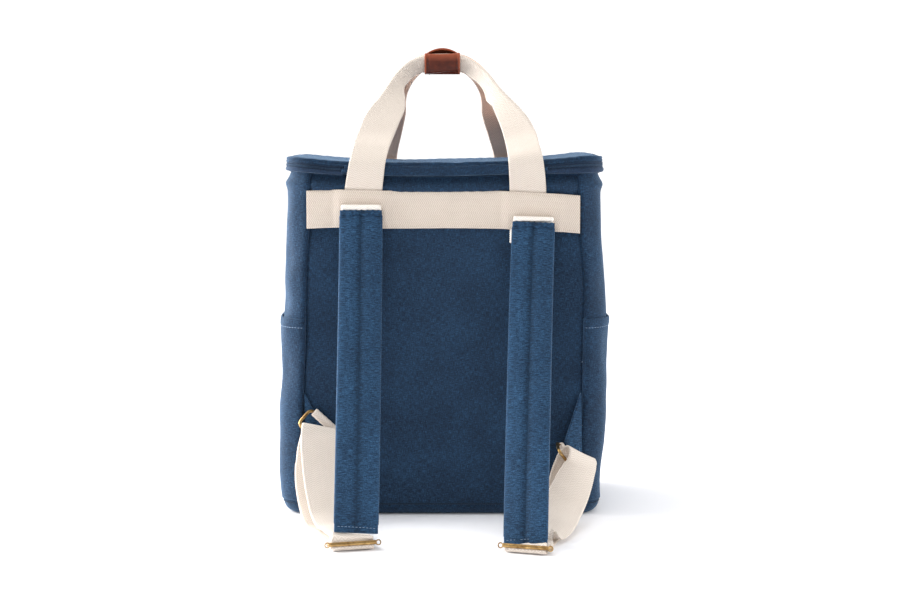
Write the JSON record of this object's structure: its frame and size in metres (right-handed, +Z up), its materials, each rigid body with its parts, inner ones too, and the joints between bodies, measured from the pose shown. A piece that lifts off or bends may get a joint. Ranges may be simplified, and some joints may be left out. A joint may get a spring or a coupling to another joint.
{
  "type": "cooler backpack",
  "caption": "Soft upright cooler backpack standing on its base, with a zipped lid, webbing carrying handles joined by a leather wrap, padded shoulder straps, wire sliders and side pockets.",
  "frame": {"origin": "centre of the flat base on the floor", "axes": "+Z up, -Y out of the harness side, where the shoulder straps are, +X to its right as seen from there"},
  "size_m": [0.3355, 0.3587, 0.4723],
  "materials": {
    "panel_cloth": "blue melange woven cloth, matte",
    "dark_cloth": "dark blue coil, binding and piping, matte",
    "strap_cloth": "lighter blue melange woven cloth, matte",
    "cotton_webbing": "natural herringbone cotton webbing, matte",
    "wrap_leather": "tan smooth leather, low sheen",
    "aged_brass": "antique brass wire, soft gloss"
  },
  "bodies": {
    "root": {"body_shell": "panel_cloth", "zip_band": "panel_cloth", "zip_coil": "dark_cloth", "hinge_strip": "dark_cloth", "zip_end_left": "panel_cloth", "zip_end_right": "panel_cloth", "lid": "panel_cloth", "zip_slider_left": "aged_brass", "zip_slider_right": "aged_brass", "base_piping": "dark_cloth", "side_pocket_right": "panel_cloth", "side_pocket_left": "panel_cloth", "band_back": "cotton_webbing", "band_front": "cotton_webbing", "handle_back": "cotton_webbing", "handle_front": "cotton_webbing", "handle_wrap": "wrap_leather", "shoulder_strap_left": "strap_cloth", "strap_anchor_left": "cotton_webbing", "ring_left": "aged_brass", "ring_keeper_left": "cotton_webbing", "corner_tab_left": "strap_cloth", "slider_left": "aged_brass", "adjusting_webbing_left": "cotton_webbing", "shoulder_strap_right": "strap_cloth", "strap_anchor_right": "cotton_webbing", "ring_right": "aged_brass", "ring_keeper_right": "cotton_webbing", "corner_tab_right": "strap_cloth", "slider_right": "aged_brass", "adjusting_webbing_right": "cotton_webbing"}
  },
  "joints": []
}
